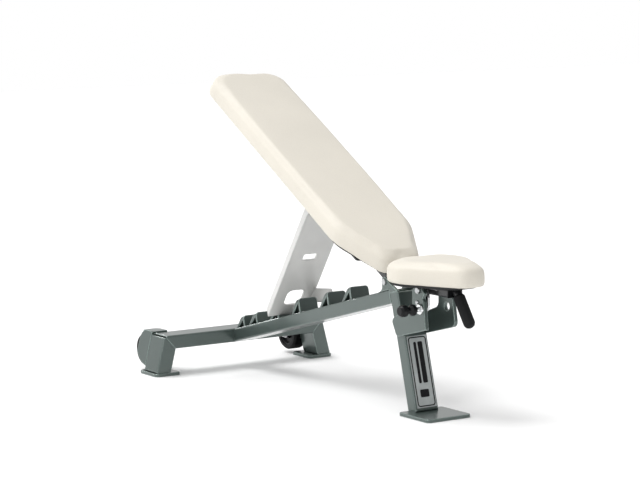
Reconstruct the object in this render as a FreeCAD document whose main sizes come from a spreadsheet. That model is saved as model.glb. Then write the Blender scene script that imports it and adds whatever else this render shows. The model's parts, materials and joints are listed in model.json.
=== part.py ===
"""Adjustable weight bench: a welded three-foot frame with a stop ladder on its spine,
a hinged backrest held up by a strut, a tilting seat with a handle, a pull pin and two
transport wheels.

Row frame: +X to the seat end, +Y to the left, +Z up, floor at Z = 0, origin under the
centre of the overall box.  Four local frames are used: the world, the spine (x along the
spine, z square to it), the backrest (origin on its hinge, -x up the back, z out of the
cushion) and the strut (origin on its pivot, z along the strut).
"""
import FreeCAD, Part
import math
import os
import re
import Sketcher

DIMENSIONS = {
    # frame tubes
    "tube_width": 80, "tube_wall": 3, "tube_round": 5,
    "root_x": -498.5, "root_z": 125, "pitch": 14.8,
    "spine_height": 40, "post_rear": 860.2, "post_depth": 40, "post_top": -10,
    "crossbar_height": 43, "leg_thickness": 50, "leg_top_out": 294, "leg_foot_out": 324,
    # feet
    "plate_thickness": 10, "plate_round": 12, "plate_edge": 2.5,
    "front_plate_rear": 425.5, "front_plate_length": 142, "front_plate_width": 153,
    "rear_plate_rear": -599.5, "rear_plate_length": 106,
    "rear_plate_in": 240, "rear_plate_out": 328,
    # wheels and guards
    "wheel_x": -633.5, "wheel_z": 65, "wheel_radius": 52, "wheel_in": 241, "wheel_width": 49,
    "tyre_depth": 14, "axle_radius": 6, "guard_thickness": 5, "guard_top": 129,
    "guard_cover_width": 56, "guard_reach": 64,
    # stop ladder
    "stop_width": 66, "stop_plate": 6, "stop_brace_run": 50, "stop_round": 10,
    # backrest hinge
    "hinge_s": 844.3, "hinge_n": 24.7, "ear_in": 32, "ear_thickness": 8, "ear_radius": 14.5,
    "hinge_bolt_radius": 6, "hinge_sleeve_radius": 12, "running_gap": 0.08,
    # backrest
    "recline": 30.3, "rail_width": 50, "rail_under": 11.5, "rail_over": 12.5,
    "rail_length": 780, "board_under": 16.5, "board_thickness": 10.5,
    "back_length": 989, "back_width": 275, "back_foot_width": 127, "back_taper": 165,
    "back_top_round": 63, "back_foot_round": 43, "back_side_round": 120,
    "cushion_lower_end": 5, "cushion_thickness": 52, "cushion_edge": 16,
    "back_board_inset": 22, "cushion_lower_edge": 4, "strap_thickness": 4,
    # strut
    "strut_along": 388, "strut_lean": 33.35, "strut_half": 71, "strut_plate": 6,
    "strut_rear": 13.5, "strut_front": 6, "strut_cut_s": 253, "strut_rod_radius": 7,
    "slot_drop": 204, "slot_width": 48, "slot_height": 24,
    "window_drop": 363, "window_width": 62, "window_height": 58, "foot_plate": 5,
    # seat bracket
    "cheek_thickness": 12, "pivot_x": 490.5, "pivot_z": 362, "stop_bolt_x": 485.5,
    "stop_bolt_z": 327, "pin_x": 499.5, "pin_z": 310, "small_bolt_radius": 5,
    "pin_hole_radius": 13,
    # seat
    "seat_front": 685.5, "seat_length": 285, "seat_under": 384, "seat_thickness": 55.5,
    "seat_width": 257, "seat_nose_width": 78, "seat_taper": 183, "seat_rear_round": 62,
    "seat_side_round": 90, "seat_nose_round": 45, "seat_board_thickness": 6.5,
    "seat_board_inset": 16, "seat_board_short": 30, "seat_board_nose": 107,
    "seat_rail_height": 24, "seat_sleeve_radius": 8.4, "seat_rail_rear": 431.5,
    "seat_rail_front": 588,
    "sector_face": 36, "sector_thickness": 8, "seat_lift": 15,
    "handle_radius": 12.5, "grip_radius": 16.5, "grip_length": 105, "handle_drop_angle": 56,
    "handle_bend": 16,
    # pull pin
    "plunger_radius": 4, "knob_radius": 16.5, "knob_waist": 9.5, "knob_length": 55,
}

# ladder stops, rear to front: place along the spine and height over it
STOPS = [(50.5, 34), (127, 34), (252.2, 38), (377, 42), (535, 39), (656, 37)]

doc = FreeCAD.newDocument("weight_bench")
sheet = doc.addObject("Spreadsheet::Sheet", "dims")
for row, (alias, number) in enumerate(DIMENSIONS.items(), start=1):
    sheet.set(f"A{row}", alias)
    sheet.set(f"B{row}", str(number))
    sheet.setAlias(f"B{row}", alias)
doc.recompute()

nodes = {}


def bind(text):
    """Write an expression of dimension names as a spreadsheet expression."""
    return re.sub(r"[a-z]\w*(?!\w*\()", lambda m: "dims." + m.group() if m.group() in DIMENSIONS
                  else m.group(), str(text))


def value(text):
    """The number that an expression of dimension names stands for."""
    result = sheet.evalExpression(bind(text).replace("dims.", ""))
    return float(getattr(result, "Value", result))


def vector(x, y, z):
    return FreeCAD.Vector(value(x), value(y), value(z))


def turned(origin, degrees):
    """A local frame turned about +Y."""
    return FreeCAD.Placement(origin, FreeCAD.Rotation(FreeCAD.Vector(0, 1, 0), degrees))


def shifted(frame, x=0, y=0, z=0):
    return frame.multiply(FreeCAD.Placement(vector(x, y, z), FreeCAD.Rotation()))


WORLD = FreeCAD.Placement()
SPINE = turned(vector("root_x", 0, "root_z"), -value("pitch"))
HINGE = SPINE.multVec(vector("hinge_s", 0, "hinge_n"))
BACK = turned(HINGE, value("recline"))
STRUT_PIVOT = BACK.multVec(vector("-strut_along", 0, 0))
STRUT = turned(STRUT_PIVOT, value("strut_lean"))
SEAT_PIVOT = vector("pivot_x", 0, "pivot_z")
ALONG_Y = FreeCAD.Rotation(FreeCAD.Vector(1, 0, 0), -90)


def origin_plane(body, role):
    return next(f for f in body.Origin.OriginFeatures if f.Role == role)


def polygon_sketch(body, name, role, corners):
    """A closed polygon on an origin plane, every corner bound to the sheet."""
    sketch = body.newObject("Sketcher::SketchObject", name)
    sketch.AttachmentSupport = [(origin_plane(body, role), "")]
    sketch.MapMode = "FlatFace"
    points = [FreeCAD.Vector(value(x), value(y), 0) for x, y in corners]
    count = len(points)
    for i in range(count):
        sketch.addGeometry(Part.LineSegment(points[i], points[(i + 1) % count]), False)
    for i in range(count):
        sketch.addConstraint(Sketcher.Constraint("Coincident", i, 2, (i + 1) % count, 1))
    for i, (x, y) in enumerate(corners):
        for kind, text in (("DistanceX", x), ("DistanceY", y)):
            index = sketch.addConstraint(Sketcher.Constraint(kind, -1, 1, i, 1, value(text)))
            sketch.setExpression(f"Constraints[{index}]", bind(text))
    return sketch


def circle_sketch(body, name, role, x, y, radius):
    sketch = body.newObject("Sketcher::SketchObject", name)
    sketch.AttachmentSupport = [(origin_plane(body, role), "")]
    sketch.MapMode = "FlatFace"
    centre = FreeCAD.Vector(value(x), value(y), 0)
    sketch.addGeometry(Part.Circle(centre, FreeCAD.Vector(0, 0, 1), value(radius)), False)
    index = sketch.addConstraint(Sketcher.Constraint("Radius", 0, value(radius)))
    sketch.setExpression(f"Constraints[{index}]", bind(radius))
    for kind, text in (("DistanceX", x), ("DistanceY", y)):
        index = sketch.addConstraint(Sketcher.Constraint(kind, -1, 1, 0, 3, value(text)))
        sketch.setExpression(f"Constraints[{index}]", bind(text))
    return sketch


def plane_axes(role):
    return {"XY_Plane": (0, 1, 2), "XZ_Plane": (0, 2, 1), "YZ_Plane": (1, 2, 0)}[role]


def corner_edges(shape, role, x, y):
    """Names of the straight edges that stand square to the plane at (x, y)."""
    first, second, _ = plane_axes(role)
    names = []
    for number, edge in enumerate(shape.Edges, start=1):
        ends = [v.Point for v in edge.Vertexes]
        if len(ends) == 2 and all(abs(p[first] - x) < 1e-4 and abs(p[second] - y) < 1e-4
                                  for p in ends):
            names.append(f"Edge{number}")
    return names


def face_edges(body, across, level):
    """Edges that lie in the plane where coordinate number across has this level."""
    return [f"Edge{number}" for number, edge in enumerate(body.Tip.Shape.Edges, start=1)
            if all(abs(v.Point[across] - level) < 1e-3 for v in edge.Vertexes)
            and abs(edge.CenterOfMass[across] - level) < 1e-3]


def round_corners(body, role, corners, rounds):
    """Fillet the chosen corners; rounds lists (radius, corner numbers)."""
    for order, (radius, numbers) in enumerate(rounds):
        names = []
        for number in numbers:
            x, y = corners[number]
            names += corner_edges(body.Tip.Shape, role, value(x), value(y))
        add_fillet(body, f"corner_round_{order}", names, radius)


def add_fillet(body, name, names, radius):
    base = body.Tip
    fillet = body.newObject("PartDesign::Fillet", name)
    fillet.Base = (base, names)
    fillet.setExpression("Radius", bind(radius))
    doc.recompute()
    return fillet


def prism(label, role, corners, depth, frame=WORLD, rounds=(), midplane=True):
    """A padded polygon with rounded corners, as a PartDesign body."""
    body = doc.addObject("PartDesign::Body", label)
    sketch = polygon_sketch(body, "outline", role, corners)
    pad = body.newObject("PartDesign::Pad", "plate")
    pad.Profile = sketch
    pad.Midplane = midplane
    pad.setExpression("Length", bind(depth))
    doc.recompute()
    round_corners(body, role, corners, rounds)
    body.Placement = frame
    nodes[label] = body
    return body


def pocket_polygon(body, name, role, corners, depth):
    """Cut a polygon, centred on the sketch plane; it has to take material away."""
    before = body.Tip.Shape.Volume
    sketch = polygon_sketch(body, name + "_outline", role, corners)
    cut = body.newObject("PartDesign::Pocket", name)
    cut.Profile = sketch
    cut.Midplane = True
    cut.setExpression("Length", bind(depth))
    doc.recompute()
    assert body.Tip.Shape.Volume < before - 1, name
    return cut


def pocket_circle(body, name, role, x, y, radius, depth="400"):
    before = body.Tip.Shape.Volume
    sketch = circle_sketch(body, name + "_outline", role, x, y, radius)
    cut = body.newObject("PartDesign::Pocket", name)
    cut.Profile = sketch
    cut.Midplane = True
    cut.setExpression("Length", bind(depth))
    doc.recompute()
    assert body.Tip.Shape.Volume < before - 1, name
    return cut


def turned_piece(label, profile, frame=WORLD, whole=True):
    """A piece turned about its local Y axis; profile lists (radius, y) corners."""
    body = doc.addObject("PartDesign::Body", label)
    sketch = polygon_sketch(body, "profile", "XY_Plane", profile)
    turn = body.newObject("PartDesign::Revolution", "turned")
    turn.Profile = sketch
    turn.ReferenceAxis = (sketch, ["V_Axis"])
    turn.Angle = 360
    doc.recompute()
    body.Placement = frame
    if whole:
        nodes[label] = body
    return body


def group(label, pieces):
    """Identical loose pieces kept in one node as separate solids."""
    compound = doc.addObject("Part::Compound", label)
    compound.Links = pieces
    nodes[label] = compound
    return compound


def at(frame, point, rotation=FreeCAD.Rotation()):
    return frame.multiply(FreeCAD.Placement(point, rotation))


# ---------------------------------------------------------------- welded frame

def long_edges(body, role):
    """Round the long outer edges of a tube whose outline lies in the role's plane."""
    _, _, across = plane_axes(role)
    box = body.Tip.Shape.BoundBox
    limits = ((box.XMin, box.XMax), (box.YMin, box.YMax), (box.ZMin, box.ZMax))[across]
    names = []
    for number, edge in enumerate(body.Tip.Shape.Edges, start=1):
        ends = [v.Point[across] for v in edge.Vertexes]
        flat = all(min(abs(e - limits[0]), abs(e - limits[1])) < 1e-4 for e in ends)
        if flat and edge.Length > 75:
            names.append(f"Edge{number}")
    add_fillet(body, "tube_corners", names, "tube_round")


def build_spine():
    tilt = "tan(pitch)"
    outer = [("0", "0"), ("post_rear", "0"), ("post_rear", "-spine_height"),
             (f"-spine_height*{tilt}", "-spine_height")]
    inner = [("-30", "-tube_wall"), ("post_rear-tube_wall", "-tube_wall"),
             ("post_rear-tube_wall", "tube_wall-spine_height"), ("-30", "tube_wall-spine_height")]
    body = prism("spine_tube", "XZ_Plane", outer, "tube_width")
    long_edges(body, "XZ_Plane")
    pocket_polygon(body, "bore", "XZ_Plane", inner, "tube_width-2*tube_wall")
    body.Placement = SPINE


def post_foot(along):
    """Height in the spine frame where the post meets the foot plate."""
    return f"(plate_thickness-root_z-({along})*sin(pitch))/cos(pitch)"


def build_post():
    front = "post_rear+post_depth"
    outer = [("post_rear", post_foot("post_rear")), (front, post_foot(front)),
             (front, "post_top"), ("post_rear", "post_top")]
    inner = [("post_rear+tube_wall", "-500"), (f"{front}-tube_wall", "-500"),
             (f"{front}-tube_wall", "post_top+5"), ("post_rear+tube_wall", "post_top+5")]
    body = prism("front_post", "XZ_Plane", outer, "tube_width")
    long_edges(body, "XZ_Plane")
    pocket_polygon(body, "bore", "XZ_Plane", inner, "tube_width-2*tube_wall")
    body.Placement = SPINE
    cap = prism("post_cap", "XZ_Plane",
                [("post_rear+tube_wall+0.2", "post_top-14"), (f"{front}-tube_wall-0.2", "post_top-14"),
                 (f"{front}-tube_wall-0.2", "post_top-0.5"),
                 ("post_rear+tube_wall+0.2", "post_top-0.5")],
                "tube_width-2*tube_wall-0.4", SPINE)
    pocket_polygon(cap, "hollow", "XZ_Plane",
                   [("post_rear+tube_wall+3", "post_top-20"), (f"{front}-tube_wall-3", "post_top-20"),
                    (f"{front}-tube_wall-3", "post_top-4"), ("post_rear+tube_wall+3", "post_top-4")],
                   "tube_width-2*tube_wall-6")
    prism("post_label", "XZ_Plane",
          [(front, "-346"), (f"{front}+1.2", "-346"), (f"{front}+1.2", "-141"), (front, "-141")],
          "68", SPINE)


def build_front_plate():
    half = "front_plate_width/2"
    corners = [("0", f"-{half}"), ("front_plate_length", f"-{half}"),
               ("front_plate_length", half), ("0", half)]
    body = prism("front_foot_plate", "XY_Plane", corners, "plate_thickness",
                 shifted(WORLD, x="front_plate_rear"), [("plate_round", [0, 1, 2, 3])],
                 midplane=False)
    add_fillet(body, "upper_edge", face_edges(body, 2, value("plate_thickness")), "plate_edge")
    body.Placement = shifted(WORLD, x="front_plate_rear")


def build_rear_side(side, name):
    """One leg, its foot plate, the wheel guard and the wheel's axle."""
    lean = "(leg_foot_out-leg_top_out)/(root_z-plate_thickness)"
    sign = "-" if side < 0 else ""
    inner_top = f"leg_top_out-leg_thickness+{lean}*crossbar_height"
    corners = [(f"{sign}1*leg_foot_out", "plate_thickness"), (f"{sign}1*leg_top_out", "root_z"),
               (f"{sign}1*({inner_top})", "root_z-crossbar_height"),
               (f"{sign}1*(leg_foot_out-leg_thickness)", "plate_thickness")]
    frame = shifted(WORLD, x="root_x-tube_width/2")
    leg = prism(f"rear_leg_{name}", "YZ_Plane", corners, "tube_width")
    long_edges(leg, "YZ_Plane")
    skin = "tube_wall*1.03"
    drop = f"{lean}*60"
    hollow = [(f"{sign}1*(leg_foot_out-{skin}+{drop})", "plate_thickness-60"),
              (f"{sign}1*(leg_top_out-{skin}-{lean}*10)", "root_z+10"),
              (f"{sign}1*({inner_top}+{skin}-{lean}*53)", "root_z+10"),
              (f"{sign}1*(leg_foot_out-leg_thickness+{skin}+{drop})", "plate_thickness-60")]
    pocket_polygon(leg, "bore", "YZ_Plane", hollow, "tube_width-2*tube_wall")
    leg.Placement = frame
    low, high = ("rear_plate_in", "rear_plate_out")
    plate = [("0", f"{sign}1*{low}"), ("rear_plate_length", f"{sign}1*{low}"),
             ("rear_plate_length", f"{sign}1*{high}"), ("0", f"{sign}1*{high}")]
    foot = prism(f"rear_foot_plate_{name}", "XY_Plane", plate, "plate_thickness",
                 shifted(WORLD, x="rear_plate_rear"), [("plate_round", [0, 1, 2, 3])],
                 midplane=False)
    add_fillet(foot, "upper_edge", face_edges(foot, 2, value("plate_thickness")), "plate_edge")
    foot.Placement = shifted(WORLD, x="rear_plate_rear")
    build_guard(side, name)
    return build_wheel(side, name)


def build_guard(side, name):
    """Side plate in the plane of the leg's outer face, with a level cover over the wheel."""
    lean = math.degrees(math.atan((value("leg_foot_out") - value("leg_top_out"))
                                  / (value("root_z") - value("plate_thickness"))))
    top = value("guard_top")
    front = value("root_x-tube_width")
    thick = value("guard_thickness")
    rear = value("guard_reach")
    outline = [(front, 24), (front - 34, 36), (front - rear, 60), (front - rear, top),
               (front, top)]
    scale = 1 / math.cos(math.radians(lean))
    points = [FreeCAD.Vector(x, 0, z * scale) for x, z in outline]
    face = Part.Face(Part.makePolygon(points + points[:1]))
    plate = face.extrude(FreeCAD.Vector(0, thick, 0))
    for number, radius in ((3, 30), (2, 10), (1, 16)):
        plate = plate.makeFillet(radius, pick_upright(plate, points[number]))
    plate.rotate(FreeCAD.Vector(), FreeCAD.Vector(1, 0, 0), lean)
    outer = value("leg_foot_out") + value("plate_thickness") * math.tan(math.radians(lean))
    plate.translate(FreeCAD.Vector(0, outer - thick * scale, 0))
    cover_in = value("leg_top_out - guard_cover_width")
    cover = Part.makeBox(rear - 8, outer - cover_in, 6,
                         FreeCAD.Vector(front - rear + 8, cover_in, top - 6))
    cover = cover.makeFillet(20, [e for e in cover.Edges if e.Length < 7
                                  and e.CenterOfMass.x < front - 40 and e.CenterOfMass.y < 260])
    slab = Part.makeBox(400, 200, 400, FreeCAD.Vector(front - 200, 0, -100))
    slab.rotate(FreeCAD.Vector(), FreeCAD.Vector(1, 0, 0), lean)
    slab.translate(FreeCAD.Vector(0, outer - thick * scale * 0.5, 0))
    shape = plate.fuse(cover.cut(slab)).removeSplitter()
    if side < 0:
        shape = shape.mirror(FreeCAD.Vector(), FreeCAD.Vector(0, 1, 0))
    guard = doc.addObject("Part::Feature", f"wheel_guard_{name}")
    guard.Shape = shape
    guard.Placement = FreeCAD.Placement()
    nodes[f"wheel_guard_{name}"] = guard


def pick_upright(shape, point):
    """Edges along Y through a point of the XZ outline."""
    return [e for e in shape.Edges
            if abs(e.CenterOfMass.x - point.x) < 1e-3 and abs(e.CenterOfMass.z - point.z) < 1e-3]


def build_wheel(side, name):
    """Solid tyre on a spoked-web hub, running on a stub axle with a washer and a nut."""
    place = FreeCAD.Placement(vector("wheel_x", 0, "wheel_z"),
                              FreeCAD.Rotation(FreeCAD.Vector(1, 0, 0), 0 if side > 0 else 180))
    near, far = "wheel_in", "wheel_in+wheel_width"
    tread = "wheel_radius"
    seat = "wheel_radius-tyre_depth"
    turned_piece(f"wheel_tyre_{name}",
                 [(seat, near), (f"{tread}-5", near), (tread, f"{near}+6"), (tread, f"{far}-6"),
                  (f"{tread}-5", far), (seat, far)], place)
    bore = "axle_radius+running_gap"
    turned_piece(f"wheel_hub_{name}",
                 [(bore, f"{near}+2"), ("16", f"{near}+2"), ("17", f"{near}+11"),
                  (f"{seat}-6", f"{near}+11"), (f"{seat}-5", f"{near}+3"), (seat, f"{near}+3"),
                  (seat, f"{far}-3"), (f"{seat}-5", f"{far}-3"), (f"{seat}-6", f"{far}-11"),
                  ("17", f"{far}-11"), ("16", f"{far}-2"), (bore, f"{far}-2")], place)
    plate_in = "leg_foot_out-22.9"
    axle = turned_piece(f"axle_{name}",
                 [("0", f"{near}-16"), ("axle_radius-1", f"{near}-16"),
                  ("axle_radius", f"{near}-15"), ("axle_radius", f"{far}+1"),
                  ("axle_radius+5", f"{far}+1"), ("axle_radius+5", plate_in),
                  ("axle_radius", plate_in), ("axle_radius", f"{plate_in}+1.3"),
                  ("0", f"{plate_in}+1.3")], place, whole=False)
    axle_nut = turned_piece(f"nut_{name}",
                 [("axle_radius", f"{near}-13"), ("10", f"{near}-13"), ("11", f"{near}-11"),
                  ("11", f"{near}-3.5"), ("14", f"{near}-3.5"), ("14", f"{near}-1"),
                  ("axle_radius", f"{near}-1")], place, whole=False)
    return axle, axle_nut


def build_crossbar():
    lean = "(leg_foot_out-leg_top_out)/(root_z-plate_thickness)"
    inner = f"(leg_top_out-leg_thickness+{lean}*crossbar_height)"
    corners = [("-1*leg_top_out", "root_z"), ("leg_top_out", "root_z"),
               (inner, "root_z-crossbar_height"), (f"-1*{inner}", "root_z-crossbar_height")]
    body = prism("crossbar", "YZ_Plane", corners, "tube_width")
    long_edges(body, "YZ_Plane")
    pocket_polygon(body, "bore", "YZ_Plane",
                   [("-320", "root_z-tube_wall"), ("320", "root_z-tube_wall"),
                    ("320", "root_z-crossbar_height+tube_wall"),
                    ("-320", "root_z-crossbar_height+tube_wall")], "tube_width-2*tube_wall")
    body.Placement = shifted(WORLD, x="root_x-tube_width/2")


def build_stops():
    """Bent plates on the spine: an upright front face and a sloping rear brace."""
    for number, (place, rise) in enumerate(STOPS, start=1):
        slope = rise / value("stop_brace_run")
        skin = value("stop_plate") * math.hypot(1, slope) / slope
        corners = [(place, 0), (place, rise), (place - 10, rise), (place - value("stop_brace_run"), 0),
                   (place - value("stop_brace_run") + skin, 0), (place - value("stop_plate"), rise - 12),
                   (place - value("stop_plate"), 0)]
        bent = prism(f"stop_profile_{number}", "XZ_Plane", [(str(x), str(z)) for x, z in corners],
                     "stop_width", SPINE)
        half = "stop_width/2"
        face = prism(f"stop_face_{number}", "YZ_Plane",
                     [(f"-{half}", "-1"), (half, "-1"), (half, str(rise)), (f"-{half}", str(rise))],
                     "4*stop_brace_run", shifted(SPINE, x=str(place)),
                     [("stop_round", [2, 3])])
        stop = doc.addObject("Part::MultiCommon", f"ladder_stop_{number}")
        stop.Shapes = [bent, face]
        del nodes[bent.Label]
        del nodes[face.Label]
        nodes[stop.Label] = stop


def hexagon(across):
    """Corners of a hexagon about the local Y axis."""
    return [(f"{across}/sqrt(3)*cos({angle})", f"{across}/sqrt(3)*sin({angle})")
            for angle in range(0, 360, 60)]


def nut(label, frame, middle, height, across, bore, whole=True):
    body = prism(label, "XZ_Plane", hexagon(across), height, shifted(frame, y=middle))
    pocket_circle(body, "thread", "XZ_Plane", "0", "0", bore)
    body.Placement = shifted(frame, y=middle)
    if not whole:
        del nodes[label]
    return body


build_spine()
build_post()
build_front_plate()
build_crossbar()
axles = [build_rear_side(1, "left"), build_rear_side(-1, "right")]
group("wheel_axles", [axle for axle, _ in axles])
group("wheel_axle_nuts", [axle_nut for _, axle_nut in axles])
build_stops()


# ------------------------------------------------- hinge ears and seat bracket

def build_ears():
    """Two gussets on the spine's front end; they carry the backrest hinge bolt."""
    left, right = "hinge_s-ear_radius", "hinge_s+ear_radius"
    top = "hinge_n+ear_radius"
    corners = [("hinge_s-38.3", "0"), (left, "2.5"), (left, top), (right, top),
               ("hinge_s+ear_radius", "hinge_n-1"), ("post_rear+post_depth", "post_top"),
               ("post_rear", "post_top"), ("post_rear", "0")]
    rounds = [("18", [1]), ("ear_radius-0.2", [2, 3])]
    for sign, name in ((1, "left"), (-1, "right")):
        frame = shifted(SPINE, y=f"{sign}*(ear_in+ear_thickness/2)")
        body = prism(f"hinge_ear_{name}", "XZ_Plane", corners, "ear_thickness", frame, rounds)
        pocket_circle(body, "hinge_hole", "XZ_Plane", "hinge_s", "hinge_n",
                      "hinge_bolt_radius+running_gap")
        body.Placement = frame
    axle = shifted(SPINE, x="hinge_s", z="hinge_n")
    turned_piece("hinge_bolt",
                 [("0", "-46.5"), ("6", "-46.5"), ("9", "-44.5"), ("9", "-40.2"),
                  ("hinge_bolt_radius", "-40.2"), ("hinge_bolt_radius", "52"), ("0", "52")], axle)
    return nut("hinge_nut", axle, "45.3", "10", "18", "hinge_bolt_radius+0.02", whole=False)


def build_cheeks():
    """Two thick plates on the post's sides; they carry the seat."""
    shared = [("378.5", "276"), ("361.5", "262"), ("385.5", "217")]
    lobe = [("489.5", "374.5"), ("460.5", "365"), ("460.5", "306")]
    front = {"left": [("538.5", "257"), ("525.5", "331"), ("518.5", "343"), ("530.5", "356"),
                      ("509.5", "372")],
             "right": [("523", "253"), ("514", "331"), ("508", "342"), ("517", "355"),
                       ("505", "371")]}
    for sign, name in ((1, "left"), (-1, "right")):
        frame = shifted(WORLD, y=f"{sign}*(tube_width/2+cheek_thickness/2)")
        rounds = [("20", [10]), ("18" if sign > 0 else "5", [3]), ("12", [0, 1, 2]),
                  ("8", [6]), ("14", [9]), ("7", [5])]
        body = prism(f"seat_cheek_{name}", "XZ_Plane", shared + front[name] + lobe,
                     "cheek_thickness", frame, rounds)
        add_fillet(body, "edge_round",
                   face_edges(body, 1, value(f"{sign}*cheek_thickness/2")), "1.5")
        pocket_circle(body, "pivot_hole", "XZ_Plane", "pivot_x", "pivot_z",
                      "hinge_bolt_radius+running_gap")
        if sign < 0:
            pocket_circle(body, "stop_hole", "XZ_Plane", "stop_bolt_x", "stop_bolt_z",
                          "small_bolt_radius+0.02")
        pocket_circle(body, "pin_hole", "XZ_Plane", "pin_x", "pin_z", "pin_hole_radius")
        body.Placement = frame
    axle = shifted(WORLD, x="pivot_x", z="pivot_z")
    turned_piece("seat_pivot_bolt",
                 [("0", "-59"), ("7.5", "-59"), ("9.5", "-57"), ("9.5", "-52.2"),
                  ("hinge_bolt_radius", "-52.2"), ("hinge_bolt_radius", "63"), ("0", "63")], axle)
    pivot_nut = nut("pivot_nut", axle, "57.2", "10", "18", "hinge_bolt_radius+0.02", whole=False)
    turned_piece("seat_stop_pin",
                 [("0", "-56"), ("4.5", "-56"), ("6.4", "-54.5"), ("6.4", "-52.2"),
                  ("small_bolt_radius", "-52.2"), ("small_bolt_radius", "-26.5"),
                  ("7.5", "-26.5"), ("7.5", "-22"), ("0", "-22")],
                 shifted(WORLD, x="stop_bolt_x", z="stop_bolt_z"))
    return pivot_nut


# -------------------------------------------------------------------- backrest

def cushion_outline(rear, front, wide, narrow, taper_end, inset):
    """Outline of a pad that is wide at one end and tapers to the other."""
    return [(f"{rear}+({inset})", f"{inset}-{wide}/2"),
            (taper_end, f"{inset}-{wide}/2"),
            (f"{front}-({inset})", f"{inset}-{narrow}/2"),
            (f"{front}-({inset})", f"{narrow}/2-{inset}"),
            (taper_end, f"{wide}/2-{inset}"),
            (f"{rear}+({inset})", f"{wide}/2-{inset}")]


def build_pad(cushion_name, board_name, frame, corners_at, rounds, under, board, thick, inset):
    """A cushion on its board, both parallel to the frame's XY plane."""
    cushion_frame = shifted(frame, z=f"{under}+{board}")
    cushion = prism(cushion_name, "XY_Plane", corners_at("0"), thick, cushion_frame,
                    rounds("0"), midplane=False)
    add_fillet(cushion, "upper_edge", face_edges(cushion, 2, value(thick)), "cushion_edge")
    add_fillet(cushion, "lower_edge", face_edges(cushion, 2, 0), "cushion_lower_edge")
    cushion.Placement = cushion_frame
    prism(board_name, "XY_Plane", corners_at(inset), board, shifted(frame, z=under),
          rounds(inset), midplane=False)


def build_backrest():
    def corners(inset):
        return cushion_outline("-1*(back_length-cushion_lower_end)", "cushion_lower_end",
                               "back_width", "back_foot_width",
                               "cushion_lower_end-back_taper", inset)

    def rounds(inset):
        return [(f"back_top_round-{inset}", [0, 5]), (f"back_side_round-{inset}", [1, 4]),
                (f"back_foot_round-{inset}", [2, 3])]

    build_pad("backrest_cushion", "backrest_board", BACK, corners, rounds,
              "board_under", "board_thickness", "cushion_thickness", "back_board_inset")
    rail = prism("backrest_rail", "XZ_Plane",
                 [("-rail_length", "-rail_under"), ("-3", "-rail_under"), ("-3", "rail_over"),
                  ("-rail_length", "rail_over")], "rail_width")
    long_edges(rail, "XZ_Plane")
    pocket_polygon(rail, "bore", "XZ_Plane",
                   [("-rail_length-5", "tube_wall-rail_under"), ("5", "tube_wall-rail_under"),
                    ("5", "rail_over-tube_wall"), ("-rail_length-5", "rail_over-tube_wall")],
                   "rail_width-2*tube_wall")
    pocket_circle(rail, "sleeve_seat", "XZ_Plane", "0", "0", "hinge_sleeve_radius")
    pocket_circle(rail, "rod_hole", "XZ_Plane", "-strut_along", "0", "strut_rod_radius+0.02")
    rail.Placement = BACK
    turned_piece("backrest_hinge_sleeve",
                 [("hinge_bolt_radius+running_gap", "-31.5"), ("hinge_sleeve_radius", "-31.5"),
                  ("hinge_sleeve_radius", "31.5"), ("hinge_bolt_radius+running_gap", "31.5")],
                 BACK)
    prism("backrest_rail_cap", "XZ_Plane",
          [("-rail_length-3", "-rail_under"), ("-rail_length", "-rail_under"),
           ("-rail_length", "rail_over"), ("-rail_length-3", "rail_over")], "rail_width", BACK)
    straps = []
    heads = []
    for order, place in enumerate((110, 500, 720)):
        strap = prism(f"back_strap_{order}", "XY_Plane",
                      [(f"{-place}-20", "-88"), (f"{-place}+20", "-88"),
                       (f"{-place}+20", "88"), (f"{-place}-20", "88")],
                      "strap_thickness", shifted(BACK, z="rail_over"), [("8", [0, 1, 2, 3])],
                      midplane=False)
        del nodes[strap.Label]
        straps.append(strap)
        for side in (-72, 72):
            heads.append(screw_head(f"back_screw_{order}_{side + 72}", BACK, -place, side,
                                    "rail_over"))
    group("backrest_straps", straps)
    group("backrest_screws", heads)
    rod = shifted(BACK, x="-strut_along")
    turned_piece("strut_rod", [("0", "-82"), ("strut_rod_radius-1", "-82"),
                               ("strut_rod_radius", "-81"), ("strut_rod_radius", "81"),
                               ("strut_rod_radius-1", "82"), ("0", "82")], rod)
    group("strut_rod_nuts", [nut(f"rod_nut_{side + 1}", rod, f"{side}*75.6", "8", "22",
                                 "strut_rod_radius+0.02", whole=False) for side in (-1, 1)])
    spacers = []
    for side in (-1, 1):
        ring = [("strut_rod_radius+0.02", f"{side}*(rail_width/2)"),
                ("strut_rod_radius+3.5", f"{side}*(rail_width/2)"),
                ("strut_rod_radius+3.5", f"{side}*64.5"),
                ("strut_rod_radius+0.02", f"{side}*64.5")]
        spacers.append(turned_piece(f"rod_spacer_{side + 1}", ring, rod, whole=False))
    group("strut_rod_spacers", spacers)


def screw_head(label, frame, x, y, under):
    """Button head under a strap, its flat side up."""
    place = at(shifted(frame, x=str(x), y=str(y), z=under), FreeCAD.Vector(), ALONG_Y)
    return turned_piece(label, [("0", "0"), ("6.5", "0"), ("6", "2.2"), ("4", "3.4"),
                                ("2.5", "3.4"), ("2", "1.8"), ("0", "1.8")], place, whole=False)


# ----------------------------------------------------------------------- strut

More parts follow.
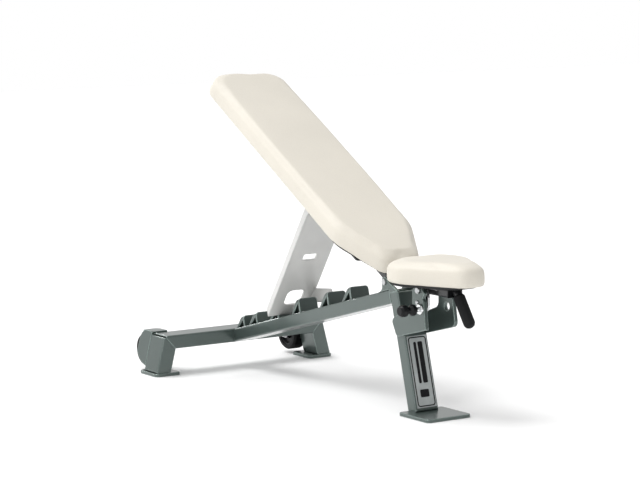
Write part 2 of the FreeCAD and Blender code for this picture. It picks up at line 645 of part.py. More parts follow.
def build_strut():
    """Channel with its web to the front; the foot is cut to lie against a stop's face."""
    turn = "(strut_lean+pitch)"
    start = "(hinge_s-strut_along*cos(recline+pitch))"


    def foot(x):
        return f"-1*({start}+({x})*cos({turn})-strut_cut_s)/sin({turn})"

    corners = [("-strut_rear", "14"), ("14", "14"), ("14", "-10"), ("strut_front", "-34"),
               ("strut_front", foot("strut_front")), ("-strut_rear", foot("-strut_rear"))]
    body = prism("strut_channel", "XZ_Plane", corners, "2*strut_half", STRUT,
                 [("13.5", [0, 1]), ("10", [2]), ("20", [3])])
    inside = "2*(strut_half-strut_plate)"
    pocket_polygon(body, "channel", "XZ_Plane",
                   [("-40", "40"), ("0", "40"), ("0", "-600"), ("-40", "-600")], inside)
    pocket_polygon(body, "fork", "XZ_Plane",
                   [("-5", "40"), ("40", "40"), ("40", "-36"), ("-5", "-36")], inside)
    pocket_circle(body, "rod_hole", "XZ_Plane", "0", "0", "strut_rod_radius+running_gap")
    for name, drop, wide, high, radius in (
            ("slot", "slot_drop", "slot_width", "slot_height", "5"),
            ("window", "window_drop", "window_width", "window_height", "18")):
        opening = [(f"-{wide}/2", f"-{drop}-{high}/2"), (f"{wide}/2", f"-{drop}-{high}/2"),
                   (f"{wide}/2", f"{high}/2-{drop}"), (f"-{wide}/2", f"{high}/2-{drop}")]
        pocket_polygon(body, name, "YZ_Plane", opening, "40")
        round_corners(body, "YZ_Plane", opening, [(radius, [0, 1, 2, 3])])
        body.Tip.Label = f"{name}_corners"
    body.Placement = STRUT
    rise = f"foot_plate/sin({turn})"
    prism("strut_foot_plate", "XZ_Plane",
          [("-strut_rear", foot("-strut_rear")), ("0", foot("0")),
           ("0", f"{foot('0')}+{rise}"), ("-strut_rear", f"{foot('-strut_rear')}+{rise}")],
          inside, STRUT)
    prism("strut_lift_tab", "XZ_Plane",
          [("strut_front", "-334"), ("74.6", "-278"), ("90.5", "-302"), ("62", "-343"),
           ("strut_front", "-388")], "strut_plate",
          shifted(STRUT, y="strut_half-strut_plate/2"), [("9", [1, 2]), ("20", [3])])


# ------------------------------------------------------------------------ seat

def build_seat():
    def corners(inset):
        front, nose = "seat_front", "seat_nose_width"
        if inset != "0":
            front, nose = "(seat_front-seat_board_short)", "seat_board_nose"
        return cushion_outline("(seat_front-seat_length)", front, "seat_width", nose,
                               "seat_front-seat_taper", inset)

    def rounds(inset):
        return [(f"seat_rear_round-{inset}", [0, 5]), (f"seat_side_round-{inset}", [1, 4]),
                (f"seat_nose_round-{inset}", [2, 3])]

    build_pad("seat_cushion", "seat_board", WORLD, corners, rounds,
              "(seat_under-seat_board_thickness)", "seat_board_thickness", "seat_thickness",
              "seat_board_inset")
    top = "(seat_under-seat_board_thickness-strap_thickness)"
    low = f"({top}-seat_rail_height)"
    rail = prism("seat_rail", "XZ_Plane",
                 [("seat_rail_rear", low), ("seat_rail_front", low), ("seat_rail_front", top),
                  ("seat_rail_rear", top)], "rail_width")
    long_edges(rail, "XZ_Plane")
    pocket_polygon(rail, "bore", "XZ_Plane",
                   [("seat_rail_rear-5", f"{low}+tube_wall"),
                    ("seat_rail_front+5", f"{low}+tube_wall"),
                    ("seat_rail_front+5", f"{top}-tube_wall"),
                    ("seat_rail_rear-5", f"{top}-tube_wall")], "rail_width-2*tube_wall")
    pocket_circle(rail, "sleeve_hole", "XZ_Plane", "pivot_x", "pivot_z", "seat_sleeve_radius")
    rail.Placement = WORLD
    ends = []
    for order, start in enumerate(("seat_rail_rear-3", "seat_rail_front")):
        end = prism(f"seat_rail_end_{order}", "XZ_Plane",
                    [(start, low), (f"{start}+3", low), (f"{start}+3", top), (start, top)],
                    "rail_width")
        del nodes[end.Label]
        ends.append(end)
    group("seat_rail_ends", ends)
    pivot = shifted(WORLD, x="pivot_x", z="pivot_z")
    turned_piece("seat_pivot_sleeve",
                 [("hinge_bolt_radius+running_gap", "-39.5"), ("seat_sleeve_radius", "-39.5"),
                  ("seat_sleeve_radius", "39.5"), ("hinge_bolt_radius+running_gap", "39.5")],
                 pivot)
    build_sector(pivot)
    straps = []
    heads = []
    for order, (place, run, half) in enumerate(((436, 16, 66), (567, 20, 60))):
        strap = prism(f"seat_strap_{order}", "XY_Plane",
                      [(f"{place - run}", f"-{half}"), (f"{place + run}", f"-{half}"),
                       (f"{place + run}", f"{half}"), (f"{place - run}", f"{half}")],
                      "strap_thickness", shifted(WORLD, z=top), [("8", [0, 1, 2, 3])],
                      midplane=False)
        del nodes[strap.Label]
        straps.append(strap)
        for sign in (-1, 1):
            heads.append(screw_head(f"seat_screw_{order}_{sign + 1}", WORLD, place,
                                    sign * (half - 14), top))
    group("seat_straps", straps)
    group("seat_screws", heads)
    build_handle()


def build_sector(pivot):
    """Plate on the pivot sleeve with a stop slot and two lock holes."""
    outline = [("-16", "9"), ("14", "9"), ("22", "-20"), ("24", "-46"), ("12", "-60"),
               ("-8", "-61"), ("-20", "-50"), ("-25", "-32")]
    frame = shifted(pivot, y="-1*(sector_face-sector_thickness/2)")
    body = prism("seat_sector_plate", "XZ_Plane", outline, "sector_thickness", frame,
                 [("7", [0, 1, 4, 5, 7]), ("10", [3, 6])])
    pocket_circle(body, "sleeve_hole", "XZ_Plane", "0", "0", "seat_sleeve_radius")
    offset_x, offset_z = "(stop_bolt_x-pivot_x)", "(stop_bolt_z-pivot_z)"
    steps = 5
    ends = []
    for index in range(steps + 1):
        swing = f"({index}/{steps}*seat_lift)"
        ends.append((f"{offset_x}*cos({swing})+{offset_z}*sin({swing})",
                     f"{offset_z}*cos({swing})-{offset_x}*sin({swing})"))
        pocket_circle(body, f"slot_{index}", "XZ_Plane", *ends[-1], "small_bolt_radius+0.35")
    hole_x, hole_z = "(pin_x-pivot_x)", "(pin_z-pivot_z)"
    for index, swing in enumerate(("0", "seat_lift")):
        pocket_circle(body, f"lock_hole_{index}", "XZ_Plane",
                      f"{hole_x}*cos({swing})+{hole_z}*sin({swing})",
                      f"{hole_z}*cos({swing})-{hole_x}*sin({swing})", "plunger_radius+0.35")
    body.Placement = frame


def build_handle():
    """Bent tube under the seat's nose with a round-ended rubber grip."""
    angle = math.radians(value("handle_drop_angle"))
    bend = value("handle_bend")
    start = vector("seat_rail_front+3", 0, "pivot_z+2.5")
    corner = start + FreeCAD.Vector(10, 0, 0)
    heading = FreeCAD.Vector(math.cos(angle), 0, -math.sin(angle))
    reach = bend * math.tan(angle / 2)
    before = corner - FreeCAD.Vector(reach, 0, 0)
    after = corner + heading * reach
    centre = before - FreeCAD.Vector(0, 0, bend)
    middle = centre + FreeCAD.Vector(math.sin(angle / 2), 0, math.cos(angle / 2)) * bend
    end = corner + heading * (reach + 2 + value("grip_length-14.5"))
    path = Part.Wire([Part.LineSegment(start, before).toShape(),
                      Part.Arc(before, middle, after).toShape(),
                      Part.LineSegment(after, end).toShape()])
    radius = value("handle_radius")
    outer = sweep_circle(path, start, radius)
    inner = sweep_circle(path, start, radius - 2.5)
    tube = doc.addObject("Part::Feature", "handle_tube")
    tube.Shape = outer.cut(inner)
    tube.Placement = FreeCAD.Placement()
    nodes["handle_tube"] = tube
    frame = FreeCAD.Placement(corner + heading * (reach + 2),
                              FreeCAD.Rotation(FreeCAD.Vector(0, 1, 0), heading))
    length = "grip_length-6"
    turned_piece("handle_grip",
                 [("handle_radius", "0"), ("grip_radius-3", "0"), ("grip_radius", "4"),
                  ("grip_radius", f"{length}-12"), ("grip_radius-4", f"{length}-4"),
                  ("grip_radius-11", f"{length}"), ("0", f"{length}"),
                  ("0", f"{length}-8"), ("handle_radius", f"{length}-8")], frame)


def sweep_circle(path, start, radius):
    profile = Part.Wire(Part.makeCircle(radius, start, FreeCAD.Vector(1, 0, 0)))
    return path.makePipeShell([profile], True, True)


# -------------------------------------------------------------------- pull pin

def build_pull_pin():
    """Pin drawn out of the sector plate; its chrome barrel sits in the right cheek."""
    axis = shifted(WORLD, x="pin_x", z="pin_z")
    turned_piece("pin_barrel",
                 [("plunger_radius+running_gap", "-39"), ("pin_hole_radius-0.1", "-39"),
                  ("pin_hole_radius-0.1", "-52"), ("pin_hole_radius+1.5", "-52"),
                  ("pin_hole_radius+2", "-53"), ("pin_hole_radius+2", "-56.5"),
                  ("pin_hole_radius+0.5", "-58"), ("7.1", "-58"), ("7.1", "-48"),
                  ("plunger_radius+running_gap", "-48")], axis)
    turned_piece("pin_plunger",
                 [("0", "-37.5"), ("plunger_radius-1", "-37.5"), ("plunger_radius", "-38.5"),
                  ("plunger_radius", "-58.5"), ("7", "-58.5"), ("7", "-70"), ("0", "-70")], axis)
    knob = turned_piece("pin_knob",
                        [("0", "-70"), ("12", "-70"), ("knob_radius-0.5", "-75"),
                         ("knob_radius-0.5", "-84"), ("knob_waist", "-91"),
                         ("knob_waist", "-97"), ("knob_radius", "-104"),
                         ("knob_radius", "-118"), ("12", "-70-knob_length"),
                         ("0", "-70-knob_length")], axis)
    rings = [f"Edge{number}" for number, edge in enumerate(knob.Tip.Shape.Edges, start=1)
             if isinstance(edge.Curve, Part.Circle)
             and edge.Curve.Radius > value("knob_waist") - 0.01]
    add_fillet(knob, "soft_lumps", rings, "3.2")
    knob.Placement = axis


group("pivot_nuts", [build_ears(), build_cheeks()])
build_backrest()
build_strut()
build_seat()
build_pull_pin()

os.makedirs("parts", exist_ok=True)
doc.recompute()
for item in doc.Objects:
    assert not {"Invalid", "Error"} & set(item.State), item.Label
for label, node in nodes.items():
    assert not node.Shape.isNull() and node.Shape.isValid(), label
    box = node.Shape.BoundBox
    print(label, round(node.Shape.Volume), len(node.Shape.Solids),
          [round(v, 1) for v in (box.XMin, box.XMax, box.YMin, box.YMax, box.ZMin, box.ZMax)])
    node.Shape.exportStep(f"parts/{label}.step")
print(len(nodes), "nodes")
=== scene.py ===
"""Looks for the weight bench: painted steel frame, padded covers, strut, wheels and studio."""
import json
import math

import bmesh
import bpy
from mathutils import Matrix, Vector


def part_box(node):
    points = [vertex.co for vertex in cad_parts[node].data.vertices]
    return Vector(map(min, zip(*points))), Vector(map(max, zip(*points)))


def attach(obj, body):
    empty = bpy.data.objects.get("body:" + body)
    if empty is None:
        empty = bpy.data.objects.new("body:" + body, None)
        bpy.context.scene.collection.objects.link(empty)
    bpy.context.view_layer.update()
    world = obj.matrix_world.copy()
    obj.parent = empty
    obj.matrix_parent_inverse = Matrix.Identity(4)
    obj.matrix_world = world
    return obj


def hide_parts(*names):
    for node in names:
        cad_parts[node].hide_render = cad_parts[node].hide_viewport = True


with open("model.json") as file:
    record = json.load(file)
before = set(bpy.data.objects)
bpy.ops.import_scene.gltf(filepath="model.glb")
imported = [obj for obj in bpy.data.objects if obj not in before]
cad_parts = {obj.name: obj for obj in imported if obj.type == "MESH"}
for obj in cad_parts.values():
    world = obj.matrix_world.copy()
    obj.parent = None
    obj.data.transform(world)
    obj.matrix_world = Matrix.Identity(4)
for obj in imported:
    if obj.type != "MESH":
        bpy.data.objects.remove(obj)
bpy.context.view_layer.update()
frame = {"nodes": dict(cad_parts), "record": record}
NODES = frame["nodes"]

# colours, linear
FRAME_GREY = (0.070, 0.095, 0.088, 1)
# paler tone for the flecks, and the base of the painted edge highlight
FRAME_LIGHT = (0.17, 0.215, 0.2, 1)
STRUT_GREY = (0.62, 0.62, 0.605, 1)
IVORY = (0.70, 0.662, 0.585, 1)
BLACK = (0.004, 0.0043, 0.005, 1)
ZINC = (0.56, 0.57, 0.58, 1)
LABEL_SILVER = (0.62, 0.66, 0.655, 1)
CHROME = (0.8, 0.81, 0.82, 1)
CREASE_SHADE = (0.9, 0.885, 0.86, 1)
FLOOR_DARK = (0.905, 0.905, 0.905, 1)
FLOOR_PALE = (0.925, 0.925, 0.925, 1)
WHITE = (1, 1, 1, 1)
NO_COLOUR = (0, 0, 0, 1)

# painted highlight along edges: rounding in metres, and the cosine between the rounded and
# the flat normal at which the highlight's mask is full and at which it has gone
EDGE_RADIUS = 0.0048
EDGE_HIGHLIGHT_FULL, EDGE_HIGHLIGHT_GONE = 0.88, 0.975

# sockets of a Mix node, which share their names: (factor, first, second) and the result
MIX_NUMBER_INPUTS, MIX_NUMBER_RESULT = (0, 2, 3), 0
MIX_COLOUR_INPUTS, MIX_COLOUR_RESULT = (0, 6, 7), 2

# cushions, in metres unless said
UNDERSIZE = 0.0005            # taken off the CAD solid, because the cover swells
VOXEL = 0.005
SOFTEN_FIRST, SOFTEN_LAST = 26, 4           # rounds before and after the cloth
CLOTH_PRESSURE = 4.0
CLOTH_FRAMES = 20
SWELL, SINK = 0.008, 0.0012   # most that a point may move out and in
EVEN_ROUNDS = 14              # averaging of the moves
BASE_HELD, BASE_FREED = 0.002, 0.014        # heights between which the base is let go
CROWN_FROM = 0.35             # share of the height where the crown starts
BACK_CROWN, SEAT_CROWN = 0.003, 0.004
RECLINE = math.radians(30.3)  # the backrest's angle at rest

# post label, in metres: an outline is so much narrower and shorter than the plate, and a bar
# is (across, along, width, length)
POST_PITCH = math.radians(14.8)
PLATE_THICK = 0.0012
OUTLINE_OUTER, OUTLINE_OUTER_RADIUS = 0.006, 0.009
OUTLINE_INNER, OUTLINE_INNER_RADIUS = 0.0125, 0.006
BARS = ((0.008, 0.026, 0.016, 0.118),
        (-0.010, 0.026, 0.009, 0.118),
        (-0.001, -0.062, 0.030, 0.022))
BAR_RADIUS = 0.0035
PRINT_THICK = 0.0005
PRINT_GAP = 0.00005

# studio, in metres and watts: an area light is (name, place, aim, size, power)
FLOOR_SIZE = 14
SUN_STRENGTH, SUN_SPREAD = 1.4, math.radians(32)
TOWARDS_SUN = (-0.28, -0.34, 0.90)
AREA_LIGHTS = (("strip", (-2.8, -2.2, 2.4), (0, 0, 0.4), (0.7, 2.4), 10),
               ("rear_edge", (-4.9, 0.5, 1.9), (0, 0, 0.2), (1.6, 0.4), 48),
               ("front_edge", (3.1, -5.1, 1.6), (0.2, 0, 0.3), (0.35, 1.6), 40))

# world: it lights the object more from one direction, and the camera sees it as plain white
GLOW_FROM = (-0.34, -0.36, 0.87)
GLOW_RANGE = (("From Min", -0.7), ("From Max", 0.9), ("To Min", 0.12), ("To Max", 1.05))
SEEN_STRENGTH = 1.0

# camera, fitted to the photograph: degrees, metres and millimetres of lens
VIEW_AZIMUTH, VIEW_ELEVATION, VIEW_ROLL = 55.98, 7.03, -0.40
VIEW_TARGET = (-0.0747, 0.0, 0.444)
VIEW_DISTANCE = 7.101
LENS, SENSOR = 133.65, 36


def add_object(name, data):
    """A new object in the scene."""
    piece = bpy.data.objects.new(name, data)
    bpy.context.scene.collection.objects.link(piece)
    return piece


# ------------------------------------------------------------------- materials

def new_material(name):
    """An empty Principled material: (material, nodes, links, shader)."""
    material = bpy.data.materials.new(name)
    material.use_nodes = True
    nodes = material.node_tree.nodes
    return material, nodes, material.node_tree.links, nodes["Principled BSDF"]


def object_place(nodes):
    return nodes.new("ShaderNodeTexCoord").outputs["Object"]


def stretched(nodes, links, place, scale):
    """Coordinates scaled by axis, for streaks and grain."""
    node = nodes.new("ShaderNodeMapping")
    node.inputs["Scale"].default_value = scale
    links.new(place, node.inputs["Vector"])
    return node.outputs["Vector"]


def noise(nodes, links, vector, scale, detail, roughness=0.5):
    node = nodes.new("ShaderNodeTexNoise")
    node.inputs["Scale"].default_value = scale
    node.inputs["Detail"].default_value = detail
    node.inputs["Roughness"].default_value = roughness
    links.new(vector, node.inputs["Vector"])
    return node


def ramp(nodes, links, source, stops):
    """Colour ramp; stops lists (position, colour)."""
    node = nodes.new("ShaderNodeValToRGB")
    elements = node.color_ramp.elements
    while len(elements) < len(stops):
        elements.new(0.5)
    for element, (position, colour) in zip(elements, stops):
        element.position = position
        element.color = colour
    links.new(source, node.inputs["Fac"])
    return node


def remap(nodes, links, source, low, high):
    node = nodes.new("ShaderNodeMapRange")
    node.inputs["To Min"].default_value = low
    node.inputs["To Max"].default_value = high
    links.new(source, node.inputs["Value"])
    return node.outputs["Result"]


def bump(nodes, links, shader, source, strength, distance):
    node = nodes.new("ShaderNodeBump")
    node.inputs["Strength"].default_value = strength
    node.inputs["Distance"].default_value = distance
    links.new(source, node.inputs["Height"])
    links.new(node.outputs["Normal"], shader.inputs["Normal"])
    return node


def shade(colour, factor):
    """A colour made lighter or darker, up to white."""
    return tuple(min(1.0, c * factor) for c in colour[:3]) + (1,)


def rounded_normal_and_highlight(nodes, links):
    """(rounded normal, mask): the mask, a painted highlight, is 0 on flats and 1 along edges.
    """
    bevel = nodes.new("ShaderNodeBevel")
    bevel.samples = 4
    bevel.inputs["Radius"].default_value = EDGE_RADIUS
    geometry = nodes.new("ShaderNodeNewGeometry")
    dot = nodes.new("ShaderNodeVectorMath")
    dot.operation = "DOT_PRODUCT"
    links.new(bevel.outputs["Normal"], dot.inputs[0])
    links.new(geometry.outputs["Normal"], dot.inputs[1])
    mask = ramp(nodes, links, dot.outputs["Value"],
                [(EDGE_HIGHLIGHT_FULL, WHITE), (EDGE_HIGHLIGHT_GONE, NO_COLOUR)]).outputs["Color"]
    return bevel.outputs["Normal"], mask


def mix_colour(nodes, links, factor, first, second, blend="MIX"):
    """Colour mix; each input is a socket to link, or a number or colour to set."""
    node = nodes.new("ShaderNodeMix")
    node.data_type = "RGBA"
    node.blend_type = blend
    for source, socket in zip((factor, first, second), MIX_COLOUR_INPUTS):
        if isinstance(source, (float, tuple)):
            node.inputs[socket].default_value = source
        else:
            links.new(source, node.inputs[socket])
    return node.outputs[MIX_COLOUR_RESULT]


def powder_coat(name, colour, light, metallic, rough, highlight_gain=2.0):
    """Painted steel: fine orange peel, faint mottling, a painted highlight along its edges."""
    material, nodes, links, shader = new_material(name)
    place = object_place(nodes)
    cloud = noise(nodes, links, place, scale=9, detail=4)
    mottled = ramp(nodes, links, cloud.outputs["Fac"],
                   [(0.3, shade(colour, 0.93)),
                    (0.7, shade(colour, 1.07))]).outputs["Color"]
    flakes = noise(nodes, links, place, scale=900, detail=2)
    speck = remap(nodes, links, flakes.outputs["Fac"], 0.0, 0.25)
    speckled = mix_colour(nodes, links, speck, mottled, light)
    # the edge mask paints a highlight, a brightened copy of the light colour, along the edges
    rounded, edge = rounded_normal_and_highlight(nodes, links)
    links.new(mix_colour(nodes, links, edge, speckled, shade(light, highlight_gain)),
              shader.inputs["Base Color"])
    shader.inputs["Metallic"].default_value = metallic
    links.new(remap(nodes, links, cloud.outputs["Fac"], rough - 0.05, rough + 0.06),
              shader.inputs["Roughness"])
    shader.inputs["Coat Weight"].default_value = 0.7
    shader.inputs["Coat Roughness"].default_value = 0.13
    peel = noise(nodes, links, place, scale=420, detail=2)
    relief = bump(nodes, links, shader, peel.outputs["Fac"], strength=0.10, distance=0.0004)
    links.new(rounded, relief.inputs["Normal"])
    return material


def leatherette(name):
    """Ivory vinyl cover: fine pebbled grain, painted shade in its hollows, soft sheen, faint
    mottling.
    """
    material, nodes, links, shader = new_material(name)
    place = object_place(nodes)
    cloud = noise(nodes, links, place, scale=5, detail=4)
    colour = ramp(nodes, links, cloud.outputs["Fac"],
                  [(0.3, shade(IVORY, 0.965)), (0.7, shade(IVORY, 1.02))]).outputs["Color"]
    grain = nodes.new("ShaderNodeTexVoronoi")
    grain.feature = "SMOOTH_F1"
    grain.inputs["Scale"].default_value = 520
    links.new(place, grain.inputs["Vector"])
    # painted shade: the grain's hollows are darkened towards the crease shade colour
    creases = ramp(nodes, links, grain.outputs["Distance"],
                   [(0.25, WHITE), (0.9, CREASE_SHADE)]).outputs["Color"]
    links.new(mix_colour(nodes, links, 0.55, colour, creases, "MULTIPLY"),
              shader.inputs["Base Color"])
    links.new(remap(nodes, links, cloud.outputs["Fac"], 0.42, 0.54),
              shader.inputs["Roughness"])
    shader.inputs["Sheen Weight"].default_value = 0.12
    shader.inputs["Sheen Roughness"].default_value = 0.4
    shader.inputs["Specular IOR Level"].default_value = 0.45
    fine = noise(nodes, links, place, scale=1300, detail=2)
    height = nodes.new("ShaderNodeMath")
    height.operation = "MULTIPLY_ADD"
    links.new(grain.outputs["Distance"], height.inputs[0])
    height.inputs[1].default_value = -1.0
    links.new(fine.outputs["Fac"], height.inputs[2])
    bump(nodes, links, shader, height.outputs[0], strength=0.22, distance=0.0006)
    return material


def rubber(name, colour, rough):
    """Black rubber or moulded plastic: dusty patches and a fine skin."""
    material, nodes, links, shader = new_material(name)
    place = object_place(nodes)
    dust = noise(nodes, links, place, scale=28, detail=5)
    links.new(ramp(nodes, links, dust.outputs["Fac"],
                   [(0.35, colour), (0.75, shade(colour, 1.5))]).outputs["Color"],
              shader.inputs["Base Color"])
    links.new(remap(nodes, links, dust.outputs["Fac"], rough - 0.08, rough + 0.1),
              shader.inputs["Roughness"])
    shader.inputs["Specular IOR Level"].default_value = 0.22
    skin = noise(nodes, links, place, scale=700, detail=3)
    bump(nodes, links, shader, skin.outputs["Fac"], strength=0.18, distance=0.0004)
    return material


def bare_metal(name, colour, rough, streak):
    """Zinc or chrome: fine turned streaks and slightly duller patches."""
    material, nodes, links, shader = new_material(name)
    place = object_place(nodes)
    streaks = noise(nodes, links, stretched(nodes, links, place, (1, 9, 1)),
                    scale=streak, detail=3)
    patches = noise(nodes, links, place, scale=30, detail=3)
    links.new(ramp(nodes, links, patches.outputs["Fac"],
                   [(0.3, shade(colour, 0.86)), (0.7, colour)]).outputs["Color"],
              shader.inputs["Base Color"])
    shader.inputs["Metallic"].default_value = 1.0
    links.new(remap(nodes, links, streaks.outputs["Fac"], rough * 0.7, rough * 1.35),
              shader.inputs["Roughness"])
    bump(nodes, links, shader, streaks.outputs["Fac"], strength=0.06, distance=0.0003)
    return material


def painted_board(name):
    """Black plywood edge and face: faint grain lines under thin paint."""
    material, nodes, links, shader = new_material(name)
    place = object_place(nodes)
    grain = noise(nodes, links, stretched(nodes, links, place, (1, 14, 14)),
                  scale=22, detail=5, roughness=0.65)
    links.new(ramp(nodes, links, grain.outputs["Fac"],
                   [(0.35, BLACK), (0.7, shade(BLACK, 2.2))]).outputs["Color"],
              shader.inputs["Base Color"])
    shader.inputs["Roughness"].default_value = 0.62
    bump(nodes, links, shader, grain.outputs["Fac"], strength=0.25, distance=0.0006)
    return material


MATERIALS = {
    "frame_paint": powder_coat("frame_paint", FRAME_GREY, FRAME_LIGHT,
                               metallic=0.55, rough=0.32),
    "strut_paint": powder_coat("strut_paint", STRUT_GREY, shade(STRUT_GREY, 1.1),
                               metallic=0.1, rough=0.42, highlight_gain=1.1),
    "black_steel": powder_coat("black_steel", shade(BLACK, 1.3), shade(BLACK, 2.6),
                               metallic=0.2, rough=0.4),
    "zinc": bare_metal("zinc", ZINC, rough=0.3, streak=160),
    "bright_steel": bare_metal("bright_steel", CHROME, rough=0.14, streak=240),
    "black_board": painted_board("black_board"),
    "cushion_cover": leatherette("cushion_cover"),
    "black_rubber": rubber("black_rubber", BLACK, rough=0.6),
    "black_plastic": rubber("black_plastic", shade(BLACK, 1.15), rough=0.33),
    "label_plate": bare_metal("label_plate", LABEL_SILVER, rough=0.42, streak=90),
}


def dress_cad_nodes():
    """Every carried-over node takes the material of its record slot."""
    slots = {part["node"]: part["material_slot"]
             for part in frame["record"]["subparts"]}
    for name, node in NODES.items():
        node.data.materials.clear()
        node.data.materials.append(MATERIALS[slots[name]])


# -------------------------------------------------------------------- cushions

def solid_copy(node, name, shrink):
    """A copy of a CAD cushion, shrunk along its normals."""
    mesh = NODES[node].data.copy()
    mesh.name = name
    piece = add_object(name, mesh)
    work = bmesh.new()
    work.from_mesh(mesh)
    bmesh.ops.remove_doubles(work, verts=work.verts, dist=1e-5)
    work.normal_update()
    for vertex in work.verts:
        vertex.co -= vertex.normal * shrink
    work.to_mesh(mesh)
    work.free()
    return piece


def apply_modifier(piece, modifier):
    bpy.context.view_layer.objects.active = piece
    piece.select_set(True)
    bpy.ops.object.modifier_apply(modifier=modifier.name)
    piece.select_set(False)


def remesh(piece, voxel):
    modifier = piece.modifiers.new("voxels", "REMESH")
    modifier.mode = "VOXEL"
    modifier.voxel_size = voxel
    modifier.use_smooth_shade = True
    apply_modifier(piece, modifier)


def soften(piece, rounds):
    smoother = piece.modifiers.new("soften", "SMOOTH")
    smoother.iterations = rounds
    smoother.factor = 0.5
    apply_modifier(piece, smoother)


def relaxed(mesh, values, rounds):
    """Values averaged over neighbouring points, so single creases don't show as dents."""
    links = [[] for _ in mesh.vertices]
    for first, second in (edge.vertices for edge in mesh.edges):
        links[first].append(second)
        links[second].append(first)
    for _ in range(rounds):
        values = [0.5 * value + 0.5 * sum(values[i] for i in near) / max(1, len(near))
                  for value, near in zip(values, links)]
    return values


def inflate(piece, up, low):
    """Cloth under pressure: faces swell by up to SWELL, pull in by up to SINK; the base stays.

    Points move only along their normals, within those limits.
    """
    mesh = piece.data
    start = [v.co.copy() for v in mesh.vertices]
    normals = [v.normal.copy() for v in mesh.vertices]
    cloth = piece.modifiers.new("cloth", "CLOTH")
    settings = cloth.settings
    settings.quality = 5
    settings.mass = 0.3
    settings.tension_stiffness = 12
    settings.compression_stiffness = 12
    settings.shear_stiffness = 6
    settings.bending_stiffness = 1.5
    settings.use_pressure = True
    settings.uniform_pressure_force = CLOTH_PRESSURE
    settings.effector_weights.gravity = 0
    cloth.point_cache.frame_start = 1
    cloth.point_cache.frame_end = CLOTH_FRAMES
    scene = bpy.context.scene
    for step in range(1, CLOTH_FRAMES + 1):
        scene.frame_set(step)
    apply_modifier(piece, cloth)
    scene.frame_set(1)
    mesh = piece.data
    moves = [(v.co - was).dot(n) for v, was, n in zip(mesh.vertices, start, normals)]
    moves = relaxed(mesh, moves, EVEN_ROUNDS)
    for vertex, was, normal, move in zip(mesh.vertices, start, normals, moves):
        height = was.dot(up) - low
        free = min(1.0, max(0.0, (height - BASE_HELD) / (BASE_FREED - BASE_HELD)))
        vertex.co = was + normal * (max(-SINK, min(SWELL, move)) * free)
    mesh.update()


def crown(piece, up, low, rise):
    """Raise the top face towards its middle, as stuffing does."""
    mesh = piece.data
    heights = [v.co.dot(up) - low for v in mesh.vertices]
    across = [abs(v.co.y) for v in mesh.vertices]
    widest = max(across)
    tall = max(heights)
    for vertex, height, side in zip(mesh.vertices, heights, across):
        share = max(0.0, height / tall - CROWN_FROM) / (1 - CROWN_FROM)
        vertex.co += up * (rise * share * (1 - (side / widest) ** 2))
    mesh.update()


def smooth_all(piece):
    for polygon in piece.data.polygons:
        polygon.use_smooth = True


def cushion(node, body, up, rise):
    """Ivory pad: CAD form, voxel remesh, inflated cover, crowned top, one subdivision."""
    low = min(Vector(v.co).dot(up) for v in NODES[node].data.vertices)
    piece = solid_copy(node, node + "_cover", UNDERSIZE)
    remesh(piece, VOXEL)
    soften(piece, SOFTEN_FIRST)
    inflate(piece, up, low)
    crown(piece, up, low, rise)
    soften(piece, SOFTEN_LAST)
    subdivision = piece.modifiers.new("fine", "SUBSURF")
    subdivision.levels = 1
    apply_modifier(piece, subdivision)
    smooth_all(piece)
    piece.data.materials.clear()
    piece.data.materials.append(MATERIALS["cushion_cover"])
    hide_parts(node)
    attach(piece, body)


# ----------------------------------------------------------------- post label

def rounded_rectangle(wide, high, radius, steps=8):
    """Points round a rectangle centred on the origin."""
    points = []
    for turn, (x, y) in enumerate(((1, 1), (-1, 1), (-1, -1), (1, -1))):
        for step in range(steps + 1):
            angle = math.radians(90 * (turn + step / steps))
            points.append((x * (wide / 2 - radius) + radius * math.cos(angle),
                           y * (high / 2 - radius) + radius * math.sin(angle)))
    return points


def flat_band(work, outer, inner, depth):
    """A raised band between two outlines of equal length, or a full shape without inner."""
    rings = [outer] if inner is None else [outer, inner]
    tops = [[work.verts.new((x, y, depth)) for x, y in ring] for ring in rings]
    feet = [[work.verts.new((x, y, 0)) for x, y in ring] for ring in rings]
    count = len(outer)
    for i in range(count):
        j = (i + 1) % count
        work.faces.new((feet[0][i], feet[0][j], tops[0][j], tops[0][i]))
        if inner is not None:
            work.faces.new((tops[0][i], tops[0][j], tops[1][j], tops[1][i]))
            work.faces.new((feet[1][j], feet[1][i], tops[1][i], tops[1][j]))
            work.faces.new((feet[0][j], feet[0][i], feet[1][i], feet[1][j]))
    if inner is None:
        work.faces.new(tops[0])
        work.faces.new(feet[0][::-1])


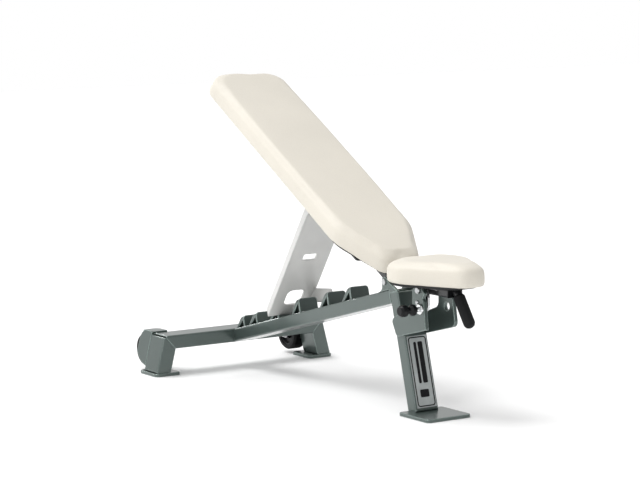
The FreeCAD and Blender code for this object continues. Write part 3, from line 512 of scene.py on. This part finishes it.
def label_graphics():
    """Dark rounded outline and three plain bars on the post's plate."""
    low, high = (Vector(corner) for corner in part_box("post_label"))
    lean, rise = math.sin(POST_PITCH), math.cos(POST_PITCH)
    length = (high.z - low.z - PLATE_THICK * lean) / rise
    wide = high.y - low.y
    top = Vector((high.x - length * lean, 0, high.z))
    down = Vector((lean, 0, -rise))
    middle = top + down * (length / 2)
    work = bmesh.new()
    outer = rounded_rectangle(wide - OUTLINE_OUTER, length - OUTLINE_OUTER,
                              OUTLINE_OUTER_RADIUS)
    inner = rounded_rectangle(wide - OUTLINE_INNER, length - OUTLINE_INNER,
                              OUTLINE_INNER_RADIUS)
    flat_band(work, outer, inner, PRINT_THICK)
    for across, along, bar_wide, bar_long in BARS:
        before = len(work.verts)
        flat_band(work, rounded_rectangle(bar_wide, bar_long, BAR_RADIUS), None,
                  PRINT_THICK)
        work.verts.ensure_lookup_table()
        for vertex in work.verts[before:]:
            vertex.co += Vector((across, along, 0))
    mesh = bpy.data.meshes.new("label_graphics")
    bmesh.ops.recalc_face_normals(work, faces=work.faces)
    work.to_mesh(mesh)
    work.free()
    across_axis, up_axis = Vector((0, 1, 0)), -down
    outward = across_axis.cross(up_axis)
    turn = Matrix((across_axis, up_axis, outward)).transposed().to_4x4()
    mesh.transform(Matrix.Translation(middle + outward * PRINT_GAP) @ turn)
    mesh.materials.append(MATERIALS["black_plastic"])
    piece = add_object("label_graphics", mesh)
    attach(piece, "frame")


# --------------------------------------------------------------------- studio

def area_light(name, place, aim, size, power):
    light = bpy.data.lights.new(name, "AREA")
    light.shape = "RECTANGLE"
    light.size, light.size_y = size
    light.energy = power
    lamp = add_object(name, light)
    lamp.location = place
    away = Vector(aim) - Vector(place)
    lamp.rotation_euler = away.to_track_quat("-Z", "Y").to_euler()


def studio_floor():
    work = bmesh.new()
    bmesh.ops.create_grid(work, x_segments=8, y_segments=8, size=FLOOR_SIZE)
    mesh = bpy.data.meshes.new("studio_floor")
    work.to_mesh(mesh)
    work.free()
    floor = add_object("studio_floor", mesh)
    material, nodes, links, shader = new_material("floor_white")
    place = object_place(nodes)
    cloud = noise(nodes, links, place, scale=1.2, detail=2)
    links.new(ramp(nodes, links, cloud.outputs["Fac"],
                   [(0.3, FLOOR_DARK), (0.7, FLOOR_PALE)]).outputs["Color"],
              shader.inputs["Base Color"])
    shader.inputs["Roughness"].default_value = 0.8
    mesh.materials.append(material)


def studio_lights():
    """A broad sun from the camera's upper left, a weak strip and two side lights."""
    sun = bpy.data.lights.new("key", "SUN")
    sun.energy = SUN_STRENGTH
    sun.angle = SUN_SPREAD
    lamp = add_object("key", sun)
    lamp.rotation_euler = Vector(TOWARDS_SUN).to_track_quat("Z", "Y").to_euler()
    for light in AREA_LIGHTS:
        area_light(*light)
    bpy.context.scene.view_settings.view_transform = "Standard"


def soft_world():
    """White surroundings that light the object less from one side, for contrast."""
    world = bpy.data.worlds.new("studio")
    world.use_nodes = True
    nodes, links = world.node_tree.nodes, world.node_tree.links
    backdrop = nodes["Background"]
    backdrop.inputs["Color"].default_value = WHITE
    place = nodes.new("ShaderNodeTexCoord").outputs["Generated"]
    side = nodes.new("ShaderNodeVectorMath")
    side.operation = "DOT_PRODUCT"
    side.inputs[1].default_value = GLOW_FROM
    links.new(place, side.inputs[0])
    glow = nodes.new("ShaderNodeMapRange")
    for socket, number in GLOW_RANGE:
        glow.inputs[socket].default_value = number
    links.new(side.outputs["Value"], glow.inputs["Value"])
    path = nodes.new("ShaderNodeLightPath")
    choose = nodes.new("ShaderNodeMix")
    factor, lit, seen = (choose.inputs[i] for i in MIX_NUMBER_INPUTS)
    links.new(path.outputs["Is Camera Ray"], factor)
    links.new(glow.outputs["Result"], lit)
    seen.default_value = SEEN_STRENGTH
    links.new(choose.outputs[MIX_NUMBER_RESULT], backdrop.inputs["Strength"])
    bpy.context.scene.world = world


def camera():
    """Long lens low at the seat's right front corner."""
    azimuth, elevation, roll = (
        math.radians(angle) for angle in (VIEW_AZIMUTH, VIEW_ELEVATION, VIEW_ROLL))
    back = Vector((math.sin(azimuth) * math.cos(elevation),
                   -math.cos(azimuth) * math.cos(elevation), math.sin(elevation)))
    lens = bpy.data.cameras.new("photo_camera")
    lens.sensor_width = SENSOR
    lens.lens = LENS
    lens.clip_end = 60
    eye = add_object("photo_camera", lens)
    turn = back.to_track_quat("Z", "Y").to_matrix().to_4x4()
    place = Vector(VIEW_TARGET) + back * VIEW_DISTANCE
    eye.matrix_world = Matrix.Translation(place) @ turn @ Matrix.Rotation(roll, 4, "Z")
    bpy.context.scene.camera = eye


camera()
studio_floor()
soft_world()
studio_lights()
dress_cad_nodes()
BACK_UP = Vector((math.sin(RECLINE), 0, math.cos(RECLINE)))
cushion("backrest_cushion", "backrest", BACK_UP, BACK_CROWN)
cushion("seat_cushion", "seat", Vector((0, 0, 1)), SEAT_CROWN)
label_graphics()
